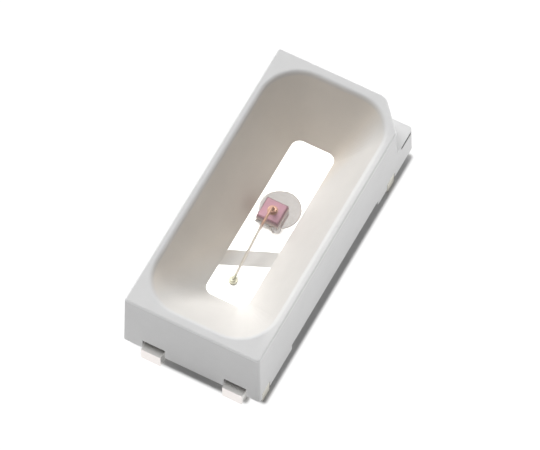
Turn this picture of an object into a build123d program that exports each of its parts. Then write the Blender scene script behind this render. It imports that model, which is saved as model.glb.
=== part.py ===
from build123d import *
import math
import os

# Surface-mount side-pad LED: a white moulded cup on a two-piece metal lead frame, with one chip wired
# inside and clear resin over it. Millimetres. X runs along the package towards the end that carries the
# polarity corner, Y towards the long side opposite that corner, Z up from the solder plane.

# Package
body_length = 3.0
body_width = 1.4
body_height = 0.8
wall_draft = 1.2             # degrees, the walls lean in towards the top
corner_radius = 0.03
rim_radius = 0.02

# Lower edge of the package
edge_height = 0.08           # bottom edge of the outer walls above the solder plane
plastic_rise = 0.01          # underside of the plastic above the solder plane
core_inset = 0.06            # the foot of the plastic stands this far inside the walls
relief_near_margin = 0.62    # from the end walls to the long-side reliefs
relief_far_margin = 0.69
relief_height = 0.15

# Polarity corner, cut in the upper tier alone
chamfer_along = 0.31
chamfer_across = 0.27
chamfer_radius = 0.12
ledge_height = 0.43
nick_length = 0.19           # short groove under the ledge, on the long side
nick_height = 0.035
nick_depth = 0.025
nick_end_margin = 0.04
nick_drop = 0.03             # from the ledge down to the groove

# Reflector cup
end_rim = 0.1                # flat rim between the walls and the cup's mouth
side_rim = 0.07
mouth_radius = 0.38
lip_radius = 0.05
floor_length = 1.79
floor_width = 0.43
floor_radius = 0.085
floor_shift = 0.025          # the floor sits this far towards the polarity end

# Lead frame
frame_thickness = 0.15
plate_end_margin = 0.08      # from the walls to the plates
plate_side_margin = 0.2
gap_width = 0.16
gap_angle = 24.0             # degrees away from square
gap_place = -0.388           # where the gap's middle crosses the centre line
etch_height = 0.07           # the underside of each plate is etched back below this height
etch_inset = 0.06

# Cut ends of the frame's tie bars
foot_width = 0.2
foot_spacing = 0.83
foot_shift = -0.03           # both feet of an end stand this far off the centre line
foot_reach = 0.06            # past the end walls
foot_side_clearance = 0.015
foot_top_clearance = 0.06
foot_notch_depth = 0.075     # the notch round each foot, in from the end walls
lug_width = 0.13
near_lug_margin = 0.125      # from the end walls to the middles of the lugs
far_lug_margin = 0.44
lug_clearance = 0.012

# Chip and what holds it
adhesive_radius = 0.2
adhesive_x = 0.19
adhesive_y = -0.01
adhesive_thickness = 0.012
adhesive_lobe_radius = 0.045
adhesive_lobe_x = -0.005
adhesive_lobe_y = -0.075
adhesive_margin = 0.015      # adhesive seen round the chip
adhesive_climb = 0.03        # the fillet climbs this far up the chip's sides
fillet_share = 0.8           # its slope is this much of the one that would end in a knife edge
chip_size = 0.22
chip_x = 0.105
chip_y = 0.02
contact_thickness = 0.005
substrate_height = 0.125
light_layer_height = 0.02
light_layer_inset = 0.008
electrode_radius = 0.05
electrode_thickness = 0.005

# Bond wire
wire_diameter = 0.026
ball_diameter = 0.076
ball_height = 0.03
neck_rise = 0.073            # straight rise of the wire above the ball
shoulder_run = 0.225         # along X, from the chip's middle to where the wire starts down
loop_drop = 0.02             # the shoulder lies this far below the top of the neck
neck_bend = 0.05
shoulder_bend = 0.25
landing_bend = 0.12
landing_run = 0.07           # last, flat stretch of wire
bump_diameter = 0.085
bump_height = 0.03
bump_x = -0.655
bump_y = 0.022
stitch_length = 0.06
stitch_width = 0.05
stitch_thickness = 0.01

# Clear filling
fill_recess = 0.03           # the filling's surface below the rim

upright = 0.9                # an edge is upright where its direction leans less than this allows
middle_of = 0.5              # place of a point halfway along an edge

ends = (-1, 1)
sides = (-1, 1)


def wall_line(half_size, z):
    """Half size of the drafted body at a height."""
    return half_size - (z - edge_height) * math.tan(math.radians(wall_draft))


def block(x_low, x_high, y_low, y_high, z_low, z_high):
    """Plain block between six planes."""
    size = (x_high - x_low, y_high - y_low, z_high - z_low)
    centre = ((x_low + x_high) / 2, (y_low + y_high) / 2, (z_low + z_high) / 2)
    return Pos(*centre) * Box(*size)


def rod(radius, x, y, z_low, height):
    """Upright round piece that stands on a height."""
    return Pos(x, y, z_low + height / 2) * Cylinder(radius, height)


def slab(length, width, x, y, z_low, height):
    """Flat piece that lies on a height."""
    return Pos(x, y, z_low + height / 2) * Box(length, width, height)


def rounded_section(length, width, radius, x, z):
    """Rounded rectangle across the cup at one height."""
    return Pos(x, 0, z) * RectangleRounded(length, width, radius)


def make_cup():
    """Space inside the reflector, from the floor to the mouth."""
    mouth_length = 2 * (wall_line(body_length / 2, body_height) - end_rim)
    mouth_width = 2 * (wall_line(body_width / 2, body_height) - side_rim)
    floor = rounded_section(floor_length, floor_width, floor_radius, floor_shift, frame_thickness)
    mouth = rounded_section(mouth_length, mouth_width, mouth_radius, 0, body_height)
    return loft([floor, mouth], ruled=True)


def make_shell():
    """Outside of the plastic, with its polarity corner and edges rounded."""
    base = Pos(0, 0, edge_height) * Rectangle(body_length, body_width)
    shell = extrude(base, amount=body_height - edge_height, taper=wall_draft)

    end = wall_line(body_length / 2, ledge_height)
    side = -wall_line(body_width / 2, ledge_height)
    angle = math.degrees(math.atan2(chamfer_across, chamfer_along))
    tool_face = Rectangle(body_width, body_width / 2, align=(Align.CENTER, Align.MAX))
    tool_place = Pos(end - chamfer_along / 2, side + chamfer_across / 2, ledge_height) * Rot(0, 0, angle)
    shell -= extrude(tool_place * tool_face, amount=body_height - ledge_height, taper=-wall_draft)

    def corner_at(x, y, z):
        return min(shell.edges().filter_by(lambda e: abs(e.tangent_at(middle_of).Z) > upright),
                   key=lambda e: (e @ middle_of - Vector(x, y, z)).length)

    middle = (edge_height + body_height) / 2
    upper = (ledge_height + body_height) / 2
    shell = fillet(corner_at(end, side + chamfer_across, upper), chamfer_radius)
    small = [corner_at(end - chamfer_along, side, upper),
             corner_at(end, side, (edge_height + ledge_height) / 2),
             corner_at(end, -side, middle),
             corner_at(-end, -side, middle),
             corner_at(-end, side, middle)]
    shell = fillet(small, corner_radius)
    return fillet(shell.faces().sort_by(Axis.Z)[-1].edges(), rim_radius)


def foot_middles():
    """Y of the two feet at each end."""
    return foot_shift - foot_spacing / 2, foot_shift + foot_spacing / 2


def lug_middles():
    """X of the tie-bar ends on the long sides."""
    return near_lug_margin - body_length / 2, body_length / 2 - far_lug_margin


def frame_plan(inset):
    """Plan of the whole frame under the cup, cut by the slanted gap, shrunk by an inset."""
    plate = Rectangle(body_length - 2 * plate_end_margin, body_width - 2 * (plate_side_margin + inset))
    gap = Pos(gap_place, 0) * Rot(0, 0, gap_angle) * Rectangle(gap_width + 2 * inset, body_length)
    return plate - gap


def make_frame():
    """Both lead plates with their tie-bar ends, before they are told apart."""
    frame = extrude(frame_plan(etch_inset), amount=frame_thickness)
    frame += Pos(0, 0, etch_height) * extrude(frame_plan(0), amount=frame_thickness - etch_height)
    root = body_length / 2 - plate_end_margin - etch_inset
    tip = body_length / 2 + foot_reach
    for end in ends:
        for middle in foot_middles():
            x_low, x_high = sorted((end * root, end * tip))
            frame += block(x_low, x_high, middle - foot_width / 2, middle + foot_width / 2,
                           0, frame_thickness)
    root = body_width / 2 - plate_side_margin - etch_inset
    for middle in lug_middles():
        for side in sides:
            y_low, y_high = sorted((side * root, side * body_width / 2))
            frame += block(middle - lug_width / 2, middle + lug_width / 2, y_low, y_high,
                           plastic_rise, frame_thickness)
    return frame


def make_housing(frame, cup):
    """White moulding: shell and foot, less the cup, the frame and the clearances round its ends."""
    half_length = body_length / 2
    half_width = body_width / 2
    housing = make_shell()
    housing += block(-half_length + core_inset, half_length - core_inset,
                     -half_width + core_inset, half_width - core_inset, plastic_rise, edge_height)
    for side in sides:
        y_low, y_high = sorted((side * (half_width - core_inset), side * (half_width + core_inset)))
        housing -= block(relief_near_margin - half_length, half_length - relief_far_margin,
                         y_low, y_high, 0, relief_height)
    for end in ends:
        x_low, x_high = sorted((end * (half_length - foot_notch_depth), end * (half_length + foot_notch_depth)))
        for middle in foot_middles():
            reach = foot_width / 2 + foot_side_clearance
            housing -= block(x_low, x_high, middle - reach, middle + reach,
                             0, frame_thickness + foot_top_clearance)
    for middle in lug_middles():
        for side in sides:
            y_low, y_high = sorted((side * (half_width - core_inset), side * (half_width + core_inset)))
            reach = lug_width / 2 + lug_clearance
            housing -= block(middle - reach, middle + reach, y_low, y_high, 0, frame_thickness + lug_clearance)
    nick_end = half_length - nick_end_margin
    nick_top = ledge_height - nick_drop
    wall = wall_line(half_width, nick_top)
    housing -= block(nick_end - nick_length, nick_end, -wall - nick_depth, -wall + nick_depth,
                     nick_top - nick_height, nick_top)
    housing -= cup
    rim = housing.faces().filter_by(Axis.Z).sort_by(Axis.Z)[-1]
    housing = fillet(rim.inner_wires()[0].edges(), lip_radius)
    return housing - frame


def make_adhesive(chip_layers):
    """Silver-filled adhesive: a round patch, a squeezed-out lobe, the bed under the chip and the fillet
    that climbs the chip's sides."""
    bed = chip_size + 2 * adhesive_margin
    top = frame_thickness + adhesive_thickness
    patch = rod(adhesive_radius, adhesive_x, adhesive_y, frame_thickness, adhesive_thickness)
    patch += rod(adhesive_lobe_radius, adhesive_lobe_x, adhesive_lobe_y, frame_thickness, adhesive_thickness)
    patch += slab(bed, bed, chip_x, chip_y, frame_thickness, adhesive_thickness)
    foot = Pos(chip_x, chip_y, top) * Rectangle(bed, bed)
    patch += extrude(foot, amount=adhesive_climb,
                     taper=math.degrees(math.atan2(adhesive_margin, adhesive_climb)) * fillet_share)
    for layer in chip_layers:
        patch -= layer
    return patch


def ball(diameter, height, x, y, z_low):
    """Bonded ball, pressed flat at its foot and top."""
    return (Pos(x, y, z_low + height / 2) * Sphere(diameter / 2)) & slab(diameter, diameter, x, y, z_low, height)


def make_wire(z_ball):
    """Bond wire in one piece: first ball, neck, loop and the flattened stitch on the far bump."""
    z_neck = z_ball + ball_height
    z_stitch = frame_thickness + bump_height
    z_run = z_stitch + wire_diameter / 2
    start = Vector(chip_x, chip_y, z_ball + ball_height / 2)
    neck = Vector(chip_x, chip_y, z_neck + neck_rise)
    stop = Vector(bump_x, bump_y, z_run)
    aim = (stop - Vector(chip_x, chip_y, z_run)).normalized()
    shoulder = neck + aim * shoulder_run - Vector(0, 0, loop_drop)
    landing = stop - aim * landing_run
    path = FilletPolyline(start, neck, shoulder, landing, stop,
                          radius=[neck_bend, shoulder_bend, landing_bend])
    section = Plane(start, z_dir=(0, 0, 1)) * Circle(wire_diameter / 2)
    wire = sweep(section, path=path)
    turn = Rot(0, 0, math.degrees(math.atan2(aim.Y, aim.X)))
    stitch = Pos(bump_x, bump_y) * turn * slab(stitch_length, stitch_width, 0, 0, z_stitch, stitch_thickness)
    return wire + stitch + ball(ball_diameter, ball_height, chip_x, chip_y, z_ball)


frame = make_frame()
leads = sorted(frame.solids(), key=lambda s: s.center().X)
small_lead = leads[0]
large_lead = leads[-1]
cup = make_cup()
housing = make_housing(frame, cup)

z_contact = frame_thickness + adhesive_thickness
z_substrate = z_contact + contact_thickness
z_light_layer = z_substrate + substrate_height
z_electrode = z_light_layer + light_layer_height
z_ball = z_electrode + electrode_thickness
mesa_size = chip_size - 2 * light_layer_inset
back_contact = slab(chip_size, chip_size, chip_x, chip_y, z_contact, contact_thickness)
substrate = slab(chip_size, chip_size, chip_x, chip_y, z_substrate, substrate_height)
light_layer = slab(mesa_size, mesa_size, chip_x, chip_y, z_light_layer, light_layer_height)
electrode = rod(electrode_radius, chip_x, chip_y, z_electrode, electrode_thickness)
adhesive = make_adhesive((back_contact, substrate))
wire = make_wire(z_ball)
bump = ball(bump_diameter, bump_height, bump_x, bump_y, frame_thickness)

fill_top = body_height - fill_recess
above_fill = block(-body_length, body_length, -body_width, body_width, fill_top, body_height + lip_radius)
filling = cup - above_fill
for piece in (adhesive, back_contact, substrate, light_layer, electrode, wire, bump):
    filling -= piece

pieces = {
    "housing": housing,
    "large_lead": large_lead,
    "small_lead": small_lead,
    "chip_adhesive": adhesive,
    "chip_back_contact": back_contact,
    "chip_substrate": substrate,
    "chip_light_layer": light_layer,
    "chip_electrode": electrode,
    "bond_wire": wire,
    "stitch_bump": bump,
    "clear_filling": filling,
}

os.makedirs("parts", exist_ok=True)
for name, piece in pieces.items():
    export_step(piece, f"parts/{name}.step")
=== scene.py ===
import math
from types import SimpleNamespace

import bmesh
import bpy
from bpy.props import FloatProperty, FloatVectorProperty, PointerProperty
from mathutils import Euler, Matrix, Vector


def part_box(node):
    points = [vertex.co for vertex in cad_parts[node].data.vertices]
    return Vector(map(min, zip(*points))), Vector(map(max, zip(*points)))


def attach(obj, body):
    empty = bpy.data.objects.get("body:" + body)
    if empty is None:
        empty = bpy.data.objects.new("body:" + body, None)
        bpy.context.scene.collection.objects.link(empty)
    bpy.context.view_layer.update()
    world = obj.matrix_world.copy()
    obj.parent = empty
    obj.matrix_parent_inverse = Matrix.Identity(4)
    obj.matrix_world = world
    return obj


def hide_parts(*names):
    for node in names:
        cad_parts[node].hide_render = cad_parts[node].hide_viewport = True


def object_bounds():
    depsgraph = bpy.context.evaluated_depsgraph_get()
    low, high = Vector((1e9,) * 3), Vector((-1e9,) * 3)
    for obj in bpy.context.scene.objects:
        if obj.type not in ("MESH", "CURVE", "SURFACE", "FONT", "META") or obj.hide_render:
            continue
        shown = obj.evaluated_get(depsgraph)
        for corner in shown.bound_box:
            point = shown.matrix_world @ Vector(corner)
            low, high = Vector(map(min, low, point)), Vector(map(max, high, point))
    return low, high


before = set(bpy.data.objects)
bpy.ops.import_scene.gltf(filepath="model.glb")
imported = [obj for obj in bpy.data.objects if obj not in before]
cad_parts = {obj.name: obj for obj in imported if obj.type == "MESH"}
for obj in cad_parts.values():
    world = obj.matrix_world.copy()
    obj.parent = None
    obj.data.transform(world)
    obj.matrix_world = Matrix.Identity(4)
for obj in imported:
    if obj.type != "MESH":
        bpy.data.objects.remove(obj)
cad_low, cad_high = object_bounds()

bl_info = {
    "name": "Surface-mount LED",
    "version": (1, 0, 0),
    "blender": (4, 5, 0),
    "location": "View3D > Sidebar > LED",
    "description": "Builds a wired side-pad LED round its packed frame: "
                   "moulded cup, leads, chip, bond and clear filling",
    "category": "Object",
}

# Lengths in the settings are metres, as Blender has them. Meshes are modelled in millimetres, where the
# mesh operators are at ease, and scaled down once at the end.
MM = 0.001
TURN = 2 * math.pi

housing_low, housing_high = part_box("housing")
plate_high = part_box("large_lead")[1]
substrate_low, substrate_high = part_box("chip_substrate")
layer_low, layer_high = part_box("chip_light_layer")
electrode_low, electrode_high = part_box("chip_electrode")
adhesive_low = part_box("chip_adhesive")[0]
bump_low, bump_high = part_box("stitch_bump")
filling_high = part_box("clear_filling")[1]

# Sizes that many shapes share, in millimetres
HALF_LENGTH = housing_high.x / MM
HALF_WIDTH = housing_high.y / MM
TOP = housing_high.z / MM
FLOOR = plate_high.z / MM       # top of the leads and floor of the cup


def length(name, description, default):
    """Length property, its default given in millimetres."""
    return FloatProperty(name=name, description=description, default=default * MM, unit="LENGTH", precision=6)


def colour(name, description, default):
    """Colour property."""
    return FloatVectorProperty(name=name, description=description, default=default, subtype="COLOR",
                               size=3, min=0.0, max=1.0)


class HousingSettings(bpy.types.PropertyGroup):
    """Sizes of the white moulding outside its cup."""

    wall_draft: FloatProperty(name="Wall draft", description="Lean of the outer walls towards the top",
                              default=math.radians(1.2), unit="ROTATION")
    corner_radius: length("Corner radius", "Rounding of the upright corners", 0.03)
    rim_radius: length("Rim radius", "Rounding of the outer edge of the rim", 0.02)
    edge_height: length("Edge height", "Bottom edge of the walls above the solder plane", 0.08)
    core_inset: length("Core inset", "Depth of the step from the walls in to the foot of the plastic", 0.06)
    core_radius: length("Core radius", "Rounding of the foot's upright corners", 0.008)
    relief_near_margin: length("Near relief margin", "From the near end wall to the long-side relief", 0.62)
    relief_far_margin: length("Far relief margin", "From the far end wall to the long-side relief", 0.69)
    relief_height: length("Relief height", "Top of the long-side relief above the solder plane", 0.15)
    cut_along: length("Cut along", "Polarity cut along the package", 0.31)
    cut_across: length("Cut across", "Polarity cut across the package", 0.27)
    cut_radius: length("Cut radius", "Rounding where the polarity cut meets the end wall", 0.12)
    ledge_height: length("Ledge height", "Height of the ledge under the polarity cut", 0.43)
    ledge_round: length("Ledge round", "Rounding of the ledge's outer edge", 0.012)
    nick_length: length("Nick length", "Groove below the ledge", 0.19)
    nick_height: length("Nick height", "Height of that groove", 0.035)
    nick_depth: length("Nick depth", "Depth of that groove", 0.025)
    nick_end_margin: length("Nick margin", "From the end wall to the groove", 0.04)
    nick_drop: length("Nick drop", "From the ledge down to the groove", 0.03)
    plastic: colour("Plastic", "White filled nylon", (0.80, 0.80, 0.80))
    # Painted light and shade in the cup: a lit copy of the plastic's colour, a warmer painted-shade copy for
    # the walls that turn away from the light, and a brighter copy there for painted bounce light from the
    # near end wall.
    wetted: colour("Wetted plastic", "The same plastic in the cup, where it faces the light",
                   (0.815, 0.80, 0.78))
    wetted_shade: colour("Wetted plastic in shade", "In the cup, away from the light, warmed by the resin",
                         (0.885, 0.82, 0.742))
    wetted_near: colour("Wetted plastic by the near end", "In that shade, brightened by the near end wall",
                        (0.98, 0.92, 0.85))
    # The rim edge and the glowing rim are painted highlights, not light coming through the plastic.
    edge: colour("Rim edge", "The thin outer edge of the rim, where light comes through", (0.98, 0.98, 0.985))
    glowing: colour("Glowing rim", "The long-side rim that light comes through", (0.92, 0.92, 0.91))
    # Painted shade in the notches and grooves of the outer walls.
    recess_shade: colour("Recess shade", "Multiplies the plastic's colour in notches and grooves",
                         (0.2, 0.19, 0.18))


class CupSettings(bpy.types.PropertyGroup):
    """Sizes of the reflector cup."""

    end_rim: length("End rim", "Flat rim at the ends", 0.1)
    side_rim: length("Side rim", "Flat rim along the sides", 0.07)
    mouth_radius: length("Mouth radius", "Corner radius of the mouth", 0.38)
    lip_radius: length("Lip radius", "Rounding from the rim into the cup", 0.05)
    floor_length: length("Floor length", "Length of the cup's floor", 1.79)
    floor_width: length("Floor width", "Width of the cup's floor", 0.43)
    floor_radius: length("Floor radius", "Corner radius of the floor", 0.085)
    floor_shift: length("Floor shift", "The floor sits this far towards the polarity end", 0.025)


class LeadSettings(bpy.types.PropertyGroup):
    """Sizes round the cut ends of the lead frame, and the plating."""

    foot_width: length("Foot width", "Width of each foot at the ends", 0.2)
    foot_spacing: length("Foot spacing", "Between the middles of two feet", 0.83)
    foot_shift: length("Foot shift", "Both feet of an end stand this far off the centre line", -0.03)
    foot_side_clearance: length("Foot side clearance", "Gap beside each foot", 0.015)
    foot_top_clearance: length("Foot top clearance", "Gap over each foot", 0.06)
    foot_notch_depth: length("Foot notch depth", "The notch round each foot, in from the end wall", 0.075)
    lug_width: length("Lug width", "Width of the cut ends on the long sides", 0.13)
    near_lug_margin: length("Near lug margin", "From the near end wall to the middle of a lug", 0.125)
    far_lug_margin: length("Far lug margin", "From the far end wall to the middle of a lug", 0.44)
    lug_clearance: length("Lug clearance", "Gap round each lug", 0.012)
    lug_exposed: length("Lug exposed", "Length of each lug that stands clear of the plastic", 0.04)
    edge_round: length("Edge round", "Rounding of the exposed metal edges", 0.008)
    plating: colour("Plating", "Bright silver plating", (0.96, 0.95, 0.93))
    lug_shade: colour("Lug shade", "Multiplies the plating's colour on the sheared lugs", (0.62, 0.61, 0.56))
    foot_shade: colour("Foot shade", "Multiplies the plating's colour on the sheared feet",
                       (0.9, 0.865, 0.86))


class ChipSettings(bpy.types.PropertyGroup):
    """Sizes and colours of the chip and its adhesive."""

    patch_radius: length("Patch radius", "Round patch of silver adhesive", 0.2)
    patch_shift_x: length("Patch shift along", "From the chip's middle to the patch's, along it", 0.085)
    patch_shift_y: length("Patch shift across", "From the chip's middle to the patch's, across it", -0.03)
    lobe_radius: length("Lobe radius", "Drop squeezed out beside the chip", 0.045)
    lobe_shift_x: length("Lobe shift along", "From the chip's middle to the drop's, along it", -0.11)
    lobe_shift_y: length("Lobe shift across", "From the chip's middle to the drop's, across it", -0.095)
    bed_margin: length("Bed margin", "Adhesive seen round the chip", 0.015)
    edge_sag: length("Edge sag", "Rounding of the adhesive's edge", 0.009)
    fillet_height: length("Fillet height", "The adhesive climbs this far up the chip's sides", 0.035)
    saw_round: length("Saw rounding", "Rounding of the chip's sawn edges", 0.003)
    mesa_lean: length("Mesa lean", "The light-emitting layer narrows by this much to its top", 0.006)
    mesa_radius: length("Mesa radius", "Corners of the light-emitting layer", 0.012)
    adhesive: colour("Adhesive", "Silver-filled epoxy", (0.62, 0.59, 0.57))
    # The sides' gradient is painted: painted shade under the light-emitting layer, and a paler foot that is a
    # painted reflection of the silver adhesive below.
    body: colour("Body", "Sawn sides of the chip", (0.50, 0.28, 0.31))
    foot: colour("Foot", "Lower part of those sides, paler with the metal below", (0.75, 0.60, 0.55))
    top: colour("Top", "Light-emitting layer", (0.71, 0.39, 0.475))
    side_shade: colour("Side shade", "Multiplies that layer's colour towards one side", (0.76, 0.74, 0.76))
    gold: colour("Gold", "Electrode and ball", (0.49, 0.30, 0.225))


class BondSettings(bpy.types.PropertyGroup):
    """Sizes of the bond wire."""

    wire_diameter: length("Wire diameter", "Gold wire", 0.026)
    ball_diameter: length("Ball diameter", "First bond, on the chip", 0.076)
    ball_height: length("Ball height", "First bond, pressed flat", 0.03)
    neck_rise: length("Neck rise", "Straight rise of the wire above the first bond", 0.073)
    shoulder_run: length("Shoulder run", "Along the wire, to where it starts down", 0.225)
    loop_drop: length("Loop drop", "The shoulder lies this far below the top of the neck", 0.02)
    landing_run: length("Landing run", "Last, flat stretch of wire", 0.07)
    neck_cone: length("Neck cone", "Height of the cone that the capillary leaves on the first bond", 0.016)
    cone_sink: length("Cone sink", "The cone starts this far inside the first bond", 0.003)
    stitch_length: length("Stitch length", "Second bond, squeezed flat", 0.06)
    stitch_width: length("Stitch width", "Second bond, squeezed flat", 0.05)
    stitch_thickness: length("Stitch thickness", "Second bond, squeezed flat", 0.01)
    # The drawn wire's pale tone is a painted reflection of the bright plating under it.
    drawn: colour("Drawn wire", "Drawn gold, bright against the plating", (0.83, 0.78, 0.71))
    pressed: colour("Pressed gold", "Stitch and bump, dull from the capillary", (0.51, 0.50, 0.39))


class FillingSettings(bpy.types.PropertyGroup):
    """The clear resin."""

    meniscus_rise: length("Meniscus rise", "The resin climbs this far up the wall", 0.0012)
    meniscus_reach: length("Meniscus reach", "Width of the curved border", 0.035)
    overlap: length("Overlap", "The resin reaches this far into what holds it, so that no air shows", 0.003)
    tint: colour("Tint", "Clear resin, faintly warm", (0.99, 0.985, 0.975))


class StageSettings(bpy.types.PropertyGroup):
    """Camera, lamps and floor."""

    azimuth: FloatProperty(name="Azimuth", description="Camera's angle round the object",
                           default=math.radians(-62.1), unit="ROTATION")
    elevation: FloatProperty(name="Elevation", description="Camera's angle above the floor",
                             default=math.radians(61.0), unit="ROTATION")
    distance: length("Distance", "From the camera to the object", 60.0)
    lens: FloatProperty(name="Lens", description="Focal length on a 36 mm sensor", default=438.5,
                        unit="CAMERA")
    move_right: length("Move right", "The camera stands this far to the right of the object's origin", 0.008)
    move_up: length("Move up", "The camera stands this far above the line to the object's origin", 0.190)
    ambient: FloatProperty(name="Ambient", description="Even light from all round", default=0.26, min=0.0)
    key: FloatProperty(name="Key", description="Light on a face square to the main lamp",
                       default=0.47, min=0.0)
    back: FloatProperty(name="Back", description="Light on a face square to the lamp beyond the far end",
                        default=0.36, min=0.0)
    front: FloatProperty(name="Front", description="Low light on the near end", default=0.18, min=0.0)
    side: FloatProperty(name="Side", description="Low light on the long side", default=0.39, min=0.0)
    # The contact shadow is partly rendered and partly painted: inside this zone the floor's colour is darker
    # and its white weaker.
    shadow_reach: length("Shadow reach", "The full contact shadow ends this far outside the object", 0.01)
    shadow_shift: length("Shadow shift", "The contact shadow keeps this far off the lit side", 0.04)
    shadow_fade: length("Shadow fade", "It fades into the white floor over this distance", 0.045)
    shadow_corner: length("Shadow corner", "The contact shadow leaves out this much at each corner", 0.15)
    opening_inset: length("Opening inset", "The floor is open this far in from the walls", 0.062)


SETTINGS = {
    "led_housing": HousingSettings,
    "led_cup": CupSettings,
    "led_leads": LeadSettings,
    "led_chip": ChipSettings,
    "led_bond": BondSettings,
    "led_filling": FillingSettings,
    "led_stage": StageSettings,
}


def settings(context, name):
    """One settings group with its lengths in millimetres."""
    group = getattr(context.scene, name)
    values = SimpleNamespace()
    for key in type(group).__annotations__:
        value = getattr(group, key)
        if group.bl_rna.properties[key].unit == "LENGTH":
            value = value / MM
        setattr(values, key, value)
    return values


# Mesh helpers, all in millimetres

CORNER_SEGMENTS = 10
MERGE = 0.0001
CUT_PAST = 0.002    # a cut goes this much deeper than the face that it ends on
ANY_HEIGHT = 10.0
FLAT = math.radians(0.2)    # neighbours within this angle count as one flat face
LEVEL = 0.99                # least rise of the normal of a level face
SLANTED = 0.9               # most rise of the normal of a face that isn't level
UPRIGHT = 0.1               # most rise of the normal of a wall


def arc_at(corners, index):
    """Centre and tangent length of the arc that rounds one corner of an outline."""
    x, y, radius = corners[index]
    here = Vector((x, y))
    before = (Vector(corners[index - 1][:2]) - here).normalized()
    after = (Vector(corners[(index + 1) % len(corners)][:2]) - here).normalized()
    half_angle = before.angle(after) / 2
    inward = (before + after).normalized()
    return here + inward * radius / math.sin(half_angle), radius / math.tan(half_angle)


def rounded_face(bm, corners, height):
    """Flat face through (x, y, radius) corners, each rounded by a vertex bevel and marked with its number."""
    mark = bm.verts.layers.int.get("corner") or bm.verts.layers.int.new("corner")
    verts = [bm.verts.new((x, y, height)) for x, y, radius in corners]
    bm.faces.new(verts)
    rounded = verts
    for index, vert in enumerate(verts):
        offset = arc_at(corners, index)[1]
        made = bmesh.ops.bevel(bm, geom=[vert], offset=offset, offset_type="OFFSET", affect="VERTICES",
                               segments=CORNER_SEGMENTS, profile=0.5, material=-1, clamp_overlap=False)
        rounded = made["verts"]
        for new in rounded:
            new[mark] = index
    return rounded[0].link_faces[0]


def extrude_face(bm, face, keep=False):
    """Extrudes a face of a solid, or with keep a lone face, and returns the new face."""
    made = bmesh.ops.extrude_face_region(bm, geom=[face])["geom"]
    if not keep:
        bmesh.ops.delete(bm, geom=[face], context="FACES_ONLY")
    return next(item for item in made if isinstance(item, bmesh.types.BMFace))


def grow_stack(bm, outlines):
    """Closed solid through (corners, height) outlines. The first is a rounded face, and each next one is that
    face extruded, with the arc of every corner moved to its new centre and scaled to its new radius."""
    corners, height = outlines[0]
    base = rounded_face(bm, corners, height)
    mark = bm.verts.layers.int.get("corner")
    face = base
    for new_corners, new_height in outlines[1:]:
        face = extrude_face(bm, face, keep=face == base)
        for index in range(len(corners)):
            centre = arc_at(corners, index)[0].to_3d()
            new_centre = arc_at(new_corners, index)[0].to_3d()
            scale = new_corners[index][2] / corners[index][2]
            move = (Matrix.Translation(new_centre) @ Matrix.Diagonal((scale, scale, 1, 1))
                    @ Matrix.Translation(-centre))
            group = [vert for vert in face.verts if vert[mark] == index]
            bmesh.ops.transform(bm, matrix=move, verts=group)
        bmesh.ops.translate(bm, vec=(0, 0, new_height - height), verts=face.verts)
        corners, height = new_corners, new_height
    bmesh.ops.recalc_face_normals(bm, faces=bm.faces)


def add_block(bm, low, high):
    """Cube between two corners."""
    low, high = Vector(low), Vector(high)
    move = Matrix.Translation((low + high) / 2) @ Matrix.Diagonal((*(high - low), 1))
    bmesh.ops.create_cube(bm, size=1.0, matrix=move)


def temporary_object(bm):
    """Object in the scene with a copy of a mesh, for a modifier."""
    mesh = bpy.data.meshes.new("temporary")
    bm.to_mesh(mesh)
    holder = bpy.data.objects.new("temporary", mesh)
    bpy.context.scene.collection.objects.link(holder)
    return holder


def discard(holder):
    """Removes such an object with its mesh."""
    mesh = holder.data
    bpy.data.objects.remove(holder)
    bpy.data.meshes.remove(mesh)


def combine(bm, tool, operation="DIFFERENCE"):
    """Cuts another solid from bm, or joins it on, with an exact Boolean."""
    body = temporary_object(bm)
    cutter = temporary_object(tool)
    modifier = body.modifiers.new("Combine", "BOOLEAN")
    modifier.operation = operation
    modifier.solver = "EXACT"
    modifier.object = cutter
    result = bpy.data.meshes.new_from_object(body.evaluated_get(bpy.context.evaluated_depsgraph_get()))
    bm.clear()
    bm.from_mesh(result)
    tool.free()
    discard(body)
    discard(cutter)
    bpy.data.meshes.remove(result)
    merge(bm)


def merge(bm):
    """Merges points that meet and drops what has no area."""
    bmesh.ops.remove_doubles(bm, verts=bm.verts, dist=MERGE)
    bmesh.ops.dissolve_degenerate(bm, edges=bm.edges, dist=MERGE)


def flatten(bm):
    """Joins flat neighbours to one face."""
    bmesh.ops.dissolve_limit(bm, angle_limit=FLAT, verts=bm.verts, edges=bm.edges)


def bevel_edges(bm, edges, width, segments=3):
    """Rounds edges."""
    bmesh.ops.bevel(bm, geom=edges, offset=width, offset_type="OFFSET", affect="EDGES", segments=segments,
                    profile=0.5, material=-1, clamp_overlap=True)


def shaded_mesh(bm, name, smooth_angle):
    """Mesh in metres of a solid in millimetres, with normals weighted by area. They are weighted before it is
    scaled, because areas in square metres are too small for the modifier."""
    bm.normal_update()
    for face in bm.faces:
        face.smooth = True
    for edge in bm.edges:
        edge.smooth = edge.calc_face_angle(math.pi) < math.radians(smooth_angle)
    holder = temporary_object(bm)
    bm.free()
    weighted = holder.modifiers.new("Even shading", "WEIGHTED_NORMAL")
    weighted.keep_sharp = True
    graph = bpy.context.evaluated_depsgraph_get()
    mesh = bpy.data.meshes.new_from_object(holder.evaluated_get(graph), preserve_all_data_layers=True,
                                           depsgraph=graph)
    discard(holder)
    mesh.name = name
    mesh.transform(Matrix.Diagonal((MM, MM, MM, 1)))
    return mesh


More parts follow.
